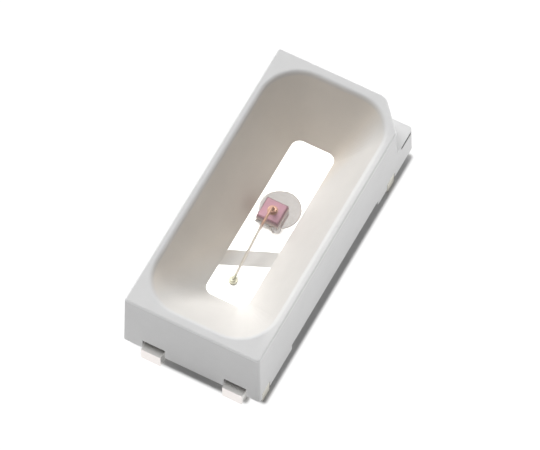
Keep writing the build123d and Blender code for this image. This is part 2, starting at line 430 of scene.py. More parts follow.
def place_piece(bm, name, node, material, smooth_angle=35):
    """Sets a modelled solid in the scene in place of its CAD node."""
    mesh = shaded_mesh(bm, name, smooth_angle)
    mesh.materials.clear()
    mesh.materials.append(material)
    piece = bpy.data.objects.new(name, mesh)
    bpy.context.scene.collection.objects.link(piece)
    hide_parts(node)
    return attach(piece, "root")


def copy_of_node(node):
    """Packed solid in millimetres, its loose triangles merged into flat faces."""
    bm = bmesh.new()
    bm.from_mesh(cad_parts[node].data)
    bmesh.ops.scale(bm, vec=(1 / MM, 1 / MM, 1 / MM), verts=bm.verts)
    merge(bm)
    flatten(bm)
    return bm


# Material helpers

WHITE = (1, 1, 1)


def new_tree(name):
    """Material with a Principled shader: the material, its tree and the shader."""
    material = bpy.data.materials.new(name)
    material.use_nodes = True
    tree = material.node_tree
    return material, tree, tree.nodes["Principled BSDF"]


def fill(tree, node, inputs):
    """Sets or links the inputs of a node."""
    for key, value in inputs.items():
        if isinstance(value, bpy.types.NodeSocket):
            tree.links.new(value, node.inputs[key])
        else:
            node.inputs[key].default_value = value


def add_node(tree, kind, inputs=None, **values):
    """Shader node with its values set and its inputs set or linked."""
    node = tree.nodes.new(kind)
    for key, value in values.items():
        setattr(node, key, value)
    fill(tree, node, inputs or {})
    return node


def calculated(tree, operation, first, second):
    """Result of a calculation with two values."""
    return add_node(tree, "ShaderNodeMath", {0: first, 1: second}, operation=operation).outputs["Value"]


def product(tree, first, second):
    """Product of two values."""
    return calculated(tree, "MULTIPLY", first, second)


def vector_math(tree, operation, first, second=(0, 0, 0)):
    """Result of a calculation with vectors: a vector, or for a length or a dot product a value."""
    node = add_node(tree, "ShaderNodeVectorMath", {0: first, 1: second}, operation=operation)
    return node.outputs["Value" if operation in ("LENGTH", "DOT_PRODUCT") else "Vector"]


def coordinates(tree, vector):
    """The three parts of a vector, by the names of the axes."""
    return add_node(tree, "ShaderNodeSeparateXYZ", {"Vector": vector}).outputs


def millimetre_space(tree, stretch=(1, 1, 1)):
    """Object coordinates in millimetres, so that a texture's scale is cells per millimetre."""
    place = add_node(tree, "ShaderNodeTexCoord").outputs["Object"]
    scale = [amount / MM for amount in stretch]
    return add_node(tree, "ShaderNodeMapping", {"Vector": place, "Scale": scale}).outputs["Vector"]


def noise(tree, space, scale, detail=3.0, roughness=0.55):
    """Noise, a value round one half."""
    return add_node(tree, "ShaderNodeTexNoise", {"Vector": space, "Scale": scale, "Detail": detail,
                                                 "Roughness": roughness}).outputs["Fac"]


def spread(tree, value, low, high, start=0.3, stop=0.7):
    """Value mapped from its reach, at first that of a noise, to another one."""
    return add_node(tree, "ShaderNodeMapRange", {"Value": value, "From Min": start, "From Max": stop,
                                                 "To Min": low, "To Max": high}).outputs["Result"]


def rising(tree, value, start=0.3, stop=0.7):
    """Nothing up to one value, one from another on."""
    return spread(tree, value, 0.0, 1.0, start, stop)


def falling(tree, value, start, stop):
    """One up to one value, nothing from another on."""
    return spread(tree, value, 1.0, 0.0, start, stop)


def between(tree, value, low, high, fade):
    """One between two values, nothing outside them."""
    return product(tree, rising(tree, value, low - fade, low), falling(tree, value, high, high + fade))


def mixed(tree, amount, first, second, blend_type="MIX"):
    """Colour between two colours, each a colour or a socket that carries one."""
    mix = add_node(tree, "ShaderNodeMix", {"Factor": amount}, data_type="RGBA", blend_type=blend_type)
    for value, socket in zip((first, second), [socket for socket in mix.inputs if socket.type == "RGBA"]):
        if isinstance(value, bpy.types.NodeSocket):
            tree.links.new(value, socket)
        else:
            socket.default_value = (*value, 1)
    return next(socket for socket in mix.outputs if socket.type == "RGBA")


def blended(tree, first, second):
    """Product of two colours."""
    return mixed(tree, 1.0, first, second, "MULTIPLY")


def clouded(tree, tone, texture, darkest):
    """Colour that a noise darkens, down to a share of it."""
    return blended(tree, tone, mixed(tree, rising(tree, texture), (darkest, darkest, darkest), WHITE))


def mixed_shader(tree, amount, first, second):
    """Shader between two shaders."""
    return add_node(tree, "ShaderNodeMixShader", {0: amount, 1: first, 2: second}).outputs["Shader"]


def bump(tree, height, depth):
    """Bump of a real depth in millimetres."""
    return add_node(tree, "ShaderNodeBump", {"Height": height, "Distance": depth * MM,
                                             "Strength": 1.0}).outputs["Normal"]


def scaled(tone, factor):
    """Colour made lighter or darker."""
    return tuple(min(1.0, part * factor) for part in tone)


def distance_outside(tree, space, half_length, half_width):
    """Distance of a point outside a rectangle round the origin, whatever its height."""
    apart = vector_math(tree, "SUBTRACT", vector_math(tree, "ABSOLUTE", space),
                        (half_length, half_width, ANY_HEIGHT))
    return vector_math(tree, "LENGTH", vector_math(tree, "MAXIMUM", apart))


# Where the plastic's painted light and shade lie, in millimetres

NOTCH_SHADE = SimpleNamespace(skin=0.022, deeper=0.015, depth_fade=0.006, lower=0.01, higher=0.02, fade=0.01)
NICK_SHADE = SimpleNamespace(skin=0.012, depth=0.04, depth_fade=0.003, margin=0.003, fade=0.004,
                             end_margin=0.005)
MOUTH_FADE = 0.02               # out from the cup's mouth
CUP_PAINT_TOP_FADE = 0.04          # down from the rim
CUP_PAINT_FOOT = (0.02, 0.002)     # down from the top of the leads
LIGHTWARD = (0.35, 0.9, 0)      # towards the light; the walls that lie this way turn away from it
TURNED_AWAY = (-0.06, 0.12)     # along that direction
NEAR_END = (-1.1, -0.5)         # along the package
GLOW_ACROSS = (-0.62, -0.57)    # across the package
GLOW_ALONG = (-1.0, 0.8)        # along the package
GLOW_FADE = 0.4


def recesses(tree, space, housing, leads):
    """One in the notches and grooves of the outer walls, which get painted shade, nearly black."""
    apart = vector_math(tree, "ABSOLUTE", space)
    inward = coordinates(tree, vector_math(tree, "SUBTRACT", (HALF_LENGTH, HALF_WIDTH, 0), apart))
    depth = calculated(tree, "MINIMUM", inward["X"], inward["Y"])
    place = coordinates(tree, space)
    mask = NOTCH_SHADE
    notches = product(tree, between(tree, depth, mask.skin, leads.foot_notch_depth + mask.deeper,
                                    mask.depth_fade),
                      between(tree, place["Z"], FLOOR - mask.lower,
                              FLOOR + leads.foot_top_clearance + mask.higher, mask.fade))
    nick_top = housing.ledge_height - housing.nick_drop
    nick_end = HALF_LENGTH - housing.nick_end_margin
    mask = NICK_SHADE
    nick = product(tree, between(tree, depth, mask.skin, mask.depth, mask.depth_fade),
                   between(tree, place["Z"], nick_top - housing.nick_height - mask.margin,
                           nick_top + mask.margin, mask.fade))
    nick = product(tree, nick, between(tree, place["X"], nick_end - housing.nick_length - mask.end_margin,
                                       nick_end + mask.end_margin, mask.end_margin))
    return calculated(tree, "MAXIMUM", notches, nick)


def in_cup(tree, space, height, housing, cup):
    """One on the plastic of the cup, nothing elsewhere."""
    radius = cup.mouth_radius
    half_length, half_width = mouth_size(housing, cup)
    away = distance_outside(tree, space, half_length - radius, half_width - radius)
    inside = product(tree, falling(tree, away, radius, radius + MOUTH_FADE),
                     falling(tree, height, TOP - CUP_PAINT_TOP_FADE, TOP))
    return product(tree, inside, rising(tree, height, FLOOR - CUP_PAINT_FOOT[0], FLOOR - CUP_PAINT_FOOT[1]))


def on_rim_highlight(tree, space, height, housing):
    """One on the middle of the rounding round the rim, where a painted highlight goes, nothing elsewhere."""
    radius = housing.rim_radius
    past_rim = distance_outside(tree, space, HALF_LENGTH - 2 * radius, HALF_WIDTH - 2 * radius)
    return product(tree, rising(tree, past_rim, 0.0, 0.2 * radius),
                   between(tree, height, TOP - 0.75 * radius, TOP - 0.25 * radius, 0.25 * radius))


def on_painted_rim_glow(tree, place, housing):
    """One on the rim of the long side, which shows brighter, for a painted highlight; nothing elsewhere."""
    rim = product(tree, falling(tree, place["Y"], *GLOW_ACROSS),
                  rising(tree, place["Z"], TOP - 2 * housing.rim_radius, TOP - housing.rim_radius))
    return product(tree, rim, between(tree, place["X"], *GLOW_ALONG, GLOW_FADE))


def plastic_material(housing, cup, leads):
    """White filled nylon: faint clouding, fine filler grain and a satin skin. In the cup it carries painted
    light and shade: it is a little warmer, most of all on the walls that turn away from the light, where it
    is painted shade."""
    material, tree, shader = new_tree("housing_plastic")
    space = millimetre_space(tree)
    place = coordinates(tree, space)
    grain = noise(tree, space, 70.0, 2.0)
    # Painted light and shade: walls turned away from the light take the warmer shaded copy, painted brighter
    # towards the near end; the others take the lit copy.
    shade_tone = mixed(tree, falling(tree, place["X"], *NEAR_END), housing.wetted_shade, housing.wetted_near)
    turned_away = rising(tree, vector_math(tree, "DOT_PRODUCT", space, LIGHTWARD), *TURNED_AWAY)
    cup_light_and_shade = mixed(tree, turned_away, housing.wetted, shade_tone)
    tone = mixed(tree, in_cup(tree, space, place["Z"], housing, cup), housing.plastic, cup_light_and_shade)
    # Painted highlights on the rounding round the rim and on one long-side rim.
    tone = mixed(tree, on_rim_highlight(tree, space, place["Z"], housing), tone, housing.edge)
    tone = mixed(tree, on_painted_rim_glow(tree, place, housing), tone, housing.glowing)
    # Painted shade in the notches and the groove.
    in_recess = recesses(tree, space, housing, leads)
    tone = blended(tree, tone, mixed(tree, in_recess, WHITE, housing.recess_shade))
    fill(tree, shader, {"Base Color": clouded(tree, tone, noise(tree, space, 5.0, 4.0), 0.97),
                        "Roughness": spread(tree, grain, 0.58, 0.7),
                        "Normal": bump(tree, grain, 0.0008),
                        "Specular IOR Level": 0.3})
    return material


def plating_material(plating, lug_shade, foot_shade):
    """Bright silver plating: rolled lines along the strip and a soft satin, duller on the sheared ends."""
    material, tree, shader = new_tree("lead_plating")
    lines = noise(tree, millimetre_space(tree, (3, 60, 60)), 1.0)
    space = millimetre_space(tree)
    apart = coordinates(tree, vector_math(tree, "ABSOLUTE", space))
    tone = mixed(tree, rising(tree, noise(tree, space, 9.0)), scaled(plating, 0.98), plating)
    fade_start, fade_stop = 0.012, 0.004
    for axis, end, shade in (("Y", HALF_WIDTH, lug_shade), ("X", plate_high.x / MM, foot_shade)):
        sheared = rising(tree, apart[axis], end - fade_start, end - fade_stop)
        tone = blended(tree, tone, mixed(tree, sheared, WHITE, shade))
    fill(tree, shader, {"Base Color": tone,
                        "Roughness": spread(tree, lines, 0.38, 0.46),
                        "Normal": bump(tree, lines, 0.0002),
                        "Metallic": 1.0})
    return material


def adhesive_material(adhesive):
    """Cured silver epoxy: dense flakes in a satin grey."""
    material, tree, shader = new_tree("silver_adhesive")
    space = millimetre_space(tree)
    flakes = add_node(tree, "ShaderNodeTexVoronoi", {"Vector": space, "Scale": 90.0}).outputs["Color"]
    sparkle = add_node(tree, "ShaderNodeSeparateColor", {"Color": flakes}).outputs["Red"]
    fill(tree, shader, {"Base Color": mixed(tree, sparkle, scaled(adhesive, 0.95), scaled(adhesive, 1.05)),
                        "Roughness": spread(tree, sparkle, 0.08, 0.13, 0.0, 1.0),
                        "Normal": bump(tree, noise(tree, space, 22.0), 0.0004),
                        "Metallic": 0.9})
    return material


def gold_material(gold, drawn, pressed):
    """Gold with a fine drawn grain. Along the package it turns from the chip's tone to the bright drawn
    wire's, which is a painted reflection of the bright plating under the wire, and to the dull one of the
    stitch."""
    material, tree, shader = new_tree("gold")
    space = millimetre_space(tree)
    grain = noise(tree, space, 60.0)
    along = coordinates(tree, space)["X"]
    ball_end, stitch_end = electrode_low.x / MM, bump_high.x / MM
    drawn_until, gold_from, pressed_fade = ball_end - 0.22, ball_end - 0.14, 0.03
    # Painted reflection: the wire turns pale where it runs over the plating.
    wire_tone = mixed(tree, rising(tree, along, drawn_until, gold_from), drawn, gold)
    tone = mixed(tree, falling(tree, along, stitch_end, stitch_end + pressed_fade), wire_tone, pressed)
    fill(tree, shader, {"Base Color": clouded(tree, tone, grain, 0.85),
                        "Roughness": spread(tree, grain, 0.4, 0.55),
                        "Normal": bump(tree, grain, 0.0006),
                        "Metallic": 1.0})
    return material


def chip_body_material(body, foot):
    """Sawn semiconductor with fine saw marks: painted shade under the light-emitting layer, and a paler foot
    that is a painted reflection of the silver adhesive below.
    """
    material, tree, shader = new_tree("chip_body")
    space = millimetre_space(tree)
    marks = noise(tree, millimetre_space(tree, (6, 6, 120)), 1.0)
    waver = spread(tree, noise(tree, space, 30.0), -0.02, 0.02)
    level = calculated(tree, "ADD", coordinates(tree, space)["Z"], waver)
    low, high = substrate_low.z / MM, substrate_high.z / MM
    # Painted shade under the layer's edge, and at the foot a painted reflection of the silver below.
    shade_under_layer = rising(tree, level, low + 0.3 * (high - low), high - 0.25 * (high - low))
    tone = mixed(tree, shade_under_layer, foot, scaled(body, 0.75))
    fill(tree, shader, {"Base Color": clouded(tree, tone, marks, 0.8),
                        "Roughness": spread(tree, marks, 0.35, 0.55),
                        "Normal": bump(tree, marks, 0.001)})
    return material


def chip_top_material(top, side_shade):
    """Frosted light-emitting layer, a little darker towards one side."""
    material, tree, shader = new_tree("chip_top")
    space = millimetre_space(tree)
    frost = noise(tree, space, 110.0, 2.0)
    side = rising(tree, coordinates(tree, space)["Y"], layer_low.y / MM, layer_high.y / MM)
    tone = mixed(tree, rising(tree, noise(tree, space, 14.0, 2.0)), scaled(top, 0.9), scaled(top, 1.07))
    fill(tree, shader, {"Base Color": blended(tree, tone, mixed(tree, side, side_shade, WHITE)),
                        "Roughness": spread(tree, frost, 0.35, 0.6),
                        "Normal": bump(tree, frost, 0.0015)})
    return material


def resin_material(tint):
    """Clear resin. Rays from lamps and from dull surfaces go straight through, so that they light the cup."""
    material, tree, shader = new_tree("clear_resin")
    ripples = noise(tree, millimetre_space(tree), 3.0, 2.0)
    fill(tree, shader, {"Base Color": (*tint, 1),
                        "Transmission Weight": 1.0,
                        "IOR": 1.48,
                        "Roughness": spread(tree, ripples, 0.0, 0.03),
                        "Normal": bump(tree, ripples, 0.0003)})
    path = add_node(tree, "ShaderNodeLightPath").outputs
    passing = calculated(tree, "MAXIMUM", path["Is Shadow Ray"], path["Is Diffuse Ray"])
    open_way = add_node(tree, "ShaderNodeBsdfTransparent", {"Color": (*tint, 1)}).outputs["BSDF"]
    mix = mixed_shader(tree, passing, shader.outputs["BSDF"], open_way)
    tree.links.new(mix, tree.nodes["Material Output"].inputs["Surface"])
    return material


# Shapes

def drafted(half_size, height, housing):
    """Half size of the drafted body at a height."""
    return half_size - (height - housing.edge_height) * math.tan(housing.wall_draft)


def body_corners(housing, height, inset, cut):
    """Outline of the body at a height, drawn in by an inset, with or without the polarity cut."""
    half_length = drafted(HALF_LENGTH, height, housing) - inset
    half_width = drafted(HALF_WIDTH, height, housing) - inset
    small = max(housing.corner_radius - inset, housing.core_radius)
    corners = [(-half_length, -half_width, small)]
    if cut:
        drawn_in = inset + (height - housing.ledge_height) * math.tan(housing.wall_draft)
        along, across = 1 / housing.cut_along, 1 / housing.cut_across
        shrink = 1 + drawn_in * (math.hypot(along, across) - along - across)
        corners.append((half_length - housing.cut_along * shrink, -half_width, small))
        corners.append((half_length, -half_width + housing.cut_across * shrink, housing.cut_radius - inset))
    else:
        corners.append((half_length, -half_width, small))
    corners += [(half_length, half_width, small), (-half_length, half_width, small)]
    return corners


def mouth_size(housing, cup):
    """Half length and half width of the cup's mouth, level with the rim."""
    return (drafted(HALF_LENGTH, TOP, housing) - cup.end_rim,
            drafted(HALF_WIDTH, TOP, housing) - cup.side_rim)


def cup_corners(housing, cup, height, inset=0.0):
    """Outline of the cup at a height, drawn in by an inset."""
    rise = (height - FLOOR) / (TOP - FLOOR)
    mouth_length, mouth_width = mouth_size(housing, cup)
    half_length = cup.floor_length / 2 + rise * (mouth_length - cup.floor_length / 2) - inset
    half_width = cup.floor_width / 2 + rise * (mouth_width - cup.floor_width / 2) - inset
    radius = cup.floor_radius + rise * (cup.mouth_radius - cup.floor_radius) - inset
    middle = cup.floor_shift * (1 - rise)
    return [(middle - half_length, -half_width, radius), (middle + half_length, -half_width, radius),
            (middle + half_length, half_width, radius), (middle - half_length, half_width, radius)]


def make_cup(housing, cup):
    """Space inside the cup, with the rounding from the rim into it."""
    half_mouth = mouth_size(housing, cup)[1]
    lean = math.atan2(half_mouth - cup.floor_width / 2, TOP - FLOOR)
    turn = math.pi / 2 - lean
    reach = cup.lip_radius * math.tan(turn / 2)
    start = TOP - reach * math.cos(lean)
    outlines = [(cup_corners(housing, cup, FLOOR), FLOOR), (cup_corners(housing, cup, start), start)]
    steps = 7
    for step in range(1, steps + 1):
        angle = lean + turn * step / steps
        height = TOP if step == steps else TOP - cup.lip_radius * (1 - math.sin(angle))
        beyond = reach - cup.lip_radius * math.cos(angle)
        outlines.append((cup_corners(housing, cup, TOP, -beyond), height))
    outlines.append((outlines[-1][0], TOP + cup.lip_radius))
    bm = bmesh.new()
    grow_stack(bm, outlines)
    return bm


def make_lower_tier(housing):
    """Body below the ledge, with its foot set back from the walls."""
    foot = body_corners(housing, housing.edge_height, housing.core_inset, False)
    outlines = [(foot, housing_low.z / MM), (foot, housing.edge_height)]
    for height in (housing.edge_height, housing.ledge_height):
        outlines.append((body_corners(housing, height, 0.0, False), height))
    bm = bmesh.new()
    grow_stack(bm, outlines)
    return bm


def make_upper_tier(housing):
    """Body above the ledge, with the polarity cut and the rounded rim."""
    outlines = [(body_corners(housing, housing.ledge_height, 0.0, True), housing.ledge_height)]
    radius = housing.rim_radius
    steps = 5
    for step in range(steps + 1):
        angle = TURN / 4 * step / steps
        height = TOP if step == steps else TOP - radius + radius * math.sin(angle)
        outlines.append((body_corners(housing, height, radius * (1 - math.cos(angle)), True), height))
    bm = bmesh.new()
    grow_stack(bm, outlines)
    return bm


def ledge_edges(bm, height):
    """Outer edges of the ledge: level, between a face that looks up and a wall below it."""
    found = []
    for edge in bm.edges:
        if any(abs(vert.co.z - height) > MERGE for vert in edge.verts):
            continue
        level = [face for face in edge.link_faces if face.normal.z > LEVEL]
        wall = [face for face in edge.link_faces
                if abs(face.normal.z) < UPRIGHT and face.calc_center_median().z < height]
        if level and wall:
            found.append(edge)
    return found


def make_clearances(housing, leads):
    """Blocks cut from the body: side reliefs, notches round the feet and lugs, and the ledge's nick."""
    bm = bmesh.new()
    depth = housing.core_inset + CUT_PAST
    beyond = housing.core_inset
    bottom = -beyond
    for side in (-1, 1):
        low_y, high_y = sorted((side * (HALF_WIDTH - depth), side * (HALF_WIDTH + beyond)))
        add_block(bm, (housing.relief_near_margin - HALF_LENGTH, low_y, bottom),
                  (HALF_LENGTH - housing.relief_far_margin, high_y, housing.relief_height))
        reach = leads.lug_width / 2 + leads.lug_clearance
        for middle in (leads.near_lug_margin - HALF_LENGTH, HALF_LENGTH - leads.far_lug_margin):
            add_block(bm, (middle - reach, low_y, bottom),
                      (middle + reach, high_y, FLOOR + leads.lug_clearance))
        reach = leads.foot_width / 2 + leads.foot_side_clearance
        middle = leads.foot_shift + side * leads.foot_spacing / 2
        for end in (-1, 1):
            low_x, high_x = sorted((end * (HALF_LENGTH - leads.foot_notch_depth),
                                    end * (HALF_LENGTH + beyond)))
            add_block(bm, (low_x, middle - reach, bottom),
                      (high_x, middle + reach, FLOOR + leads.foot_top_clearance))
    nick_end = HALF_LENGTH - housing.nick_end_margin
    nick_top = housing.ledge_height - housing.nick_drop
    wall = drafted(HALF_WIDTH, nick_top, housing)
    add_block(bm, (nick_end - housing.nick_length, -wall - housing.nick_depth,
                   nick_top - housing.nick_height), (nick_end, -wall + housing.nick_depth, nick_top))
    return bm


class LED_OT_leads(bpy.types.Operator):
    """Both lead plates, with their exposed edges rounded as shearing and plating leave them"""

    bl_idname = "led.build_leads"
    bl_label = "Leads"

    def execute(self, context):
        leads = settings(context, "led_leads")
        material = plating_material(leads.plating, leads.lug_shade, leads.foot_shade)
        for node in ("large_lead", "small_lead"):
            bm = copy_of_node(node)
            end = HALF_LENGTH - leads.edge_round
            side = HALF_WIDTH - leads.lug_exposed
            outer = [edge for edge in bm.edges
                     if all(abs(vert.co.x) > end or abs(vert.co.y) > side for vert in edge.verts)]
            bevel_edges(bm, outer, leads.edge_round)
            place_piece(bm, node + "_plated", node, material)
        return {"FINISHED"}


class LED_OT_housing(bpy.types.Operator):
    """White moulding with its cup, rim, polarity cut, reliefs and notches"""

    bl_idname = "led.build_housing"
    bl_label = "Housing"

    def execute(self, context):
        housing = settings(context, "led_housing")
        cup = settings(context, "led_cup")
        leads = settings(context, "led_leads")
        body = make_lower_tier(housing)
        combine(body, make_upper_tier(housing), "UNION")
        bevel_edges(body, ledge_edges(body, housing.ledge_height), housing.ledge_round)
        for tool in (make_cup(housing, cup), make_clearances(housing, leads),
                     copy_of_node("large_lead"), copy_of_node("small_lead")):
            combine(body, tool)
        flatten(body)
        place_piece(body, "moulded_housing", "housing",
                    plastic_material(housing, cup, leads))
        return {"FINISHED"}


def square_corners(middle, half_size, radius):
    """Outline of a square with rounded corners."""
    return [(middle.x + x * half_size, middle.y + y * half_size, radius)
            for x, y in ((-1, -1), (1, -1), (1, 1), (-1, 1))]


def add_disc(bm, radius, x, y, low, high, segments=64):
    """Upright round piece between two heights."""
    move = Matrix.Translation((x, y, (low + high) / 2))
    bmesh.ops.create_cone(bm, cap_ends=True, segments=segments, radius1=radius, radius2=radius,
                          depth=high - low, matrix=move)


def cut_level(bm, height, side):
    """Cuts off what lies above a level, or with side -1 below it, and closes the cut."""
    parts = bm.verts[:] + bm.edges[:] + bm.faces[:]
    cut = bmesh.ops.bisect_plane(bm, geom=parts, plane_co=(0, 0, height), plane_no=(0, 0, side),
                                 clear_outer=True)
    rim = [item for item in cut["geom_cut"] if isinstance(item, bmesh.types.BMEdge)]
    bmesh.ops.edgeloop_fill(bm, edges=rim)
    bmesh.ops.recalc_face_normals(bm, faces=bm.faces)


def pressed_ball(diameter, height, place):
    """Ball flattened at its foot and its top, round a place."""
    ball = bmesh.new()
    bmesh.ops.create_uvsphere(ball, u_segments=40, v_segments=24, radius=diameter / 2)
    for end in (-1, 1):
        cut_level(ball, end * height / 2, end)
    bmesh.ops.translate(ball, vec=place, verts=ball.verts)
    return ball


def top_rim(bm, height):
    """Outer edges of the level faces at a height."""
    return [edge for edge in bm.edges
            if all(abs(vert.co.z - height) < MERGE for vert in edge.verts)
            and any(face.normal.z < SLANTED for face in edge.link_faces)]


BED_THICKNESS = 0.012       # adhesive under and round the chip
FILLET_GAP = 0.001          # the fillet ends this far out from the chip's side
PAD_ROUND = 0.002           # rounding of the electrode's upper edge


def make_adhesive(chip, middle):
    """Round patch, the drop beside the chip, the bed and the fillet that climbs the chip's sides."""
    low = adhesive_low.z / MM
    bed_top = low + BED_THICKNESS
    half_bed = (substrate_high.x - substrate_low.x) / 2 / MM + chip.bed_margin
    bm = bmesh.new()
    add_disc(bm, chip.patch_radius, middle.x + chip.patch_shift_x, middle.y + chip.patch_shift_y,
             low, bed_top, segments=96)
    bed = bmesh.new()
    grow_stack(bed, [(square_corners(middle, half_bed, chip.mesa_radius), low),
                     (square_corners(middle, half_bed, chip.mesa_radius), bed_top)])
    combine(bm, bed, "UNION")
    flatten(bm)
    bevel_edges(bm, top_rim(bm, bed_top), chip.edge_sag, segments=4)
    drop = bmesh.new()
    place = Matrix.Translation((middle.x + chip.lobe_shift_x, middle.y + chip.lobe_shift_y, low))
    size = Matrix.Diagonal((chip.lobe_radius, chip.lobe_radius, bed_top - low, 1))
    bmesh.ops.create_uvsphere(drop, u_segments=40, v_segments=24, radius=1.0, matrix=place @ size)
    cut_level(drop, low, -1)
    combine(bm, drop, "UNION")
    fillet = bmesh.new()
    outlines = []
    steps = 5
    for step in range(steps + 1):
        part = step / steps
        run = chip.bed_margin - chip.edge_sag - FILLET_GAP
        half = half_bed - chip.edge_sag - run * (1 - (1 - part) ** 2)
        outlines.append((square_corners(middle, half, chip.mesa_radius),
                         bed_top - chip.edge_sag / 2 + part ** 2 * chip.fillet_height))
    grow_stack(fillet, outlines)
    combine(bm, fillet, "UNION")
    return bm


class LED_OT_chip(bpy.types.Operator):
    """Chip layers and the silver adhesive under them"""

    bl_idname = "led.build_chip"
    bl_label = "Chip"

    def execute(self, context):
        chip = settings(context, "led_chip")
        bond = settings(context, "led_bond")
        gold = gold_material(chip.gold, bond.drawn, bond.pressed)
        middle = (substrate_low + substrate_high) / 2 / MM
        place_piece(make_adhesive(chip, middle), "adhesive_patch", "chip_adhesive",
                    adhesive_material(chip.adhesive), 50)
        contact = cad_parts["chip_back_contact"].data
        contact.materials.clear()
        contact.materials.append(gold)
        body = bmesh.new()
        add_block(body, substrate_low / MM, substrate_high / MM)
        bevel_edges(body, body.edges[:], chip.saw_round)
        place_piece(body, "chip_body_sawn", "chip_substrate",
                    chip_body_material(chip.body, chip.foot))
        mesa = bmesh.new()
        half = (layer_high.x - layer_low.x) / 2 / MM
        grow_stack(mesa, [(square_corners(middle, half, chip.mesa_radius), layer_low.z / MM),
                          (square_corners(middle, half - chip.mesa_lean, chip.mesa_radius),
                           layer_high.z / MM)])
        bevel_edges(mesa, top_rim(mesa, layer_high.z / MM), chip.saw_round / 2)
        place_piece(mesa, "chip_top_frosted", "chip_light_layer",
                    chip_top_material(chip.top, chip.side_shade))
        pad = bmesh.new()
        add_disc(pad, (electrode_high.x - electrode_low.x) / 2 / MM, middle.x, middle.y,
                 electrode_low.z / MM, electrode_high.z / MM)
        bevel_edges(pad, top_rim(pad, electrode_high.z / MM), PAD_ROUND)
        place_piece(pad, "electrode_pad", "chip_electrode", gold)
        return {"FINISHED"}


def add_wire(bm, points, radius):
    """Round wire along a smooth curve that keeps close to its points."""
    curve = bpy.data.curves.new("temporary", "CURVE")
    curve.dimensions = "3D"
    curve.bevel_depth = radius
    curve.bevel_resolution = 6
    curve.use_fill_caps = True
    curve.resolution_u = 8
    line = curve.splines.new("NURBS")
    line.points.add(len(points) - 1)
    for point, place in zip(line.points, points):
        point.co = (*place, 1)
    line.order_u = 4
    line.use_endpoint_u = True
    holder = bpy.data.objects.new("temporary", curve)
    mesh = bpy.data.meshes.new_from_object(holder)
    bm.from_mesh(mesh)
    bpy.data.objects.remove(holder)
    bpy.data.curves.remove(curve)
    bpy.data.meshes.remove(mesh)
    merge(bm)
    bmesh.ops.recalc_face_normals(bm, faces=bm.faces)


# Course of the wire. Lengths are millimetres, shares are of the stretch or the size they go with.

NECK_BEND = 0.015                   # length of the bend below the top of the neck
SPAN_BEND = 0.03                    # length of the bend at each end of the span
SPAN_SHARE = 0.55                   # a point of the span, from the neck to the shoulder
SLOPE_SHARES = (0.15, 0.5, 0.85)    # points of the slope, from the shoulder to the landing
CONE_FOOT, CONE_TIP = 1.9, 0.9      # radii of the cone, of the wire's
STITCH_LIFT = 1 / 8                 # the wire's end stands clear of the bump, of the stitch's thickness


def wire_points(bond, ball, stop, aim):
    """Points from the middle of the ball over the loop to the wire's end."""
    neck = Vector((ball.x, ball.y, ball.z + bond.ball_height / 2 + bond.neck_rise))
    shoulder = neck + aim * bond.shoulder_run - Vector((0, 0, bond.loop_drop))
    landing = stop - aim * bond.landing_run
    return [ball, neck.lerp(ball, 0.5), neck - Vector((0, 0, NECK_BEND)), neck + aim * SPAN_BEND,
            neck.lerp(shoulder, SPAN_SHARE), shoulder - aim * SPAN_BEND,
            *(shoulder.lerp(landing, part) for part in SLOPE_SHARES),
            landing, landing.lerp(stop, 0.5), stop]


class LED_OT_bond(bpy.types.Operator):
    """Bond wire with its ball and stitch, and the bump under the stitch"""

    bl_idname = "led.build_bond"
    bl_label = "Bond wire"

    def execute(self, context):
        bond = settings(context, "led_bond")
        gold = bpy.data.objects["electrode_pad"].data.materials[0]
        ball = (electrode_low + electrode_high) / 2 / MM
        ball.z = electrode_high.z / MM + bond.ball_height / 2
        ball_top = ball.z + bond.ball_height / 2
        bump = (bump_low + bump_high) / 2 / MM
        bump_top = bump_high.z / MM
        radius = bond.wire_diameter / 2
        stop = Vector((bump.x, bump.y, bump_top + radius + bond.stitch_thickness * STITCH_LIFT))
        aim = Vector((stop.x - ball.x, stop.y - ball.y, 0)).normalized()
        wire = bmesh.new()
        add_wire(wire, wire_points(bond, ball, stop, aim), radius)
        cone = bmesh.new()
        place = Matrix.Translation((ball.x, ball.y, ball_top + bond.neck_cone / 2 - bond.cone_sink))
        bmesh.ops.create_cone(cone, cap_ends=True, segments=32, radius1=CONE_FOOT * radius,
                              radius2=CONE_TIP * radius, depth=bond.neck_cone, matrix=place)
        stitch = bmesh.new()
        turn = Matrix.Rotation(math.atan2(aim.y, aim.x), 4, "Z")
        size = (bond.stitch_length / 2, bond.stitch_width / 2, bond.stitch_thickness / 2)
        place = Matrix.Translation((bump.x, bump.y, bump_top + size[2])) @ turn @ Matrix.Diagonal((*size, 1))
        bmesh.ops.create_uvsphere(stitch, u_segments=32, v_segments=16, radius=1.0, matrix=place)
        for part in (pressed_ball(bond.ball_diameter, bond.ball_height, ball), cone, stitch):
            combine(wire, part, "UNION")
        place_piece(wire, "gold_wire", "bond_wire", gold)
        button = pressed_ball(bump_high.x / MM - bump_low.x / MM, bump_top - bump_low.z / MM,
                              (bump.x, bump.y, (bump_top + bump_low.z / MM) / 2))
        place_piece(button, "gold_bump", "stitch_bump", gold)
        return {"FINISHED"}


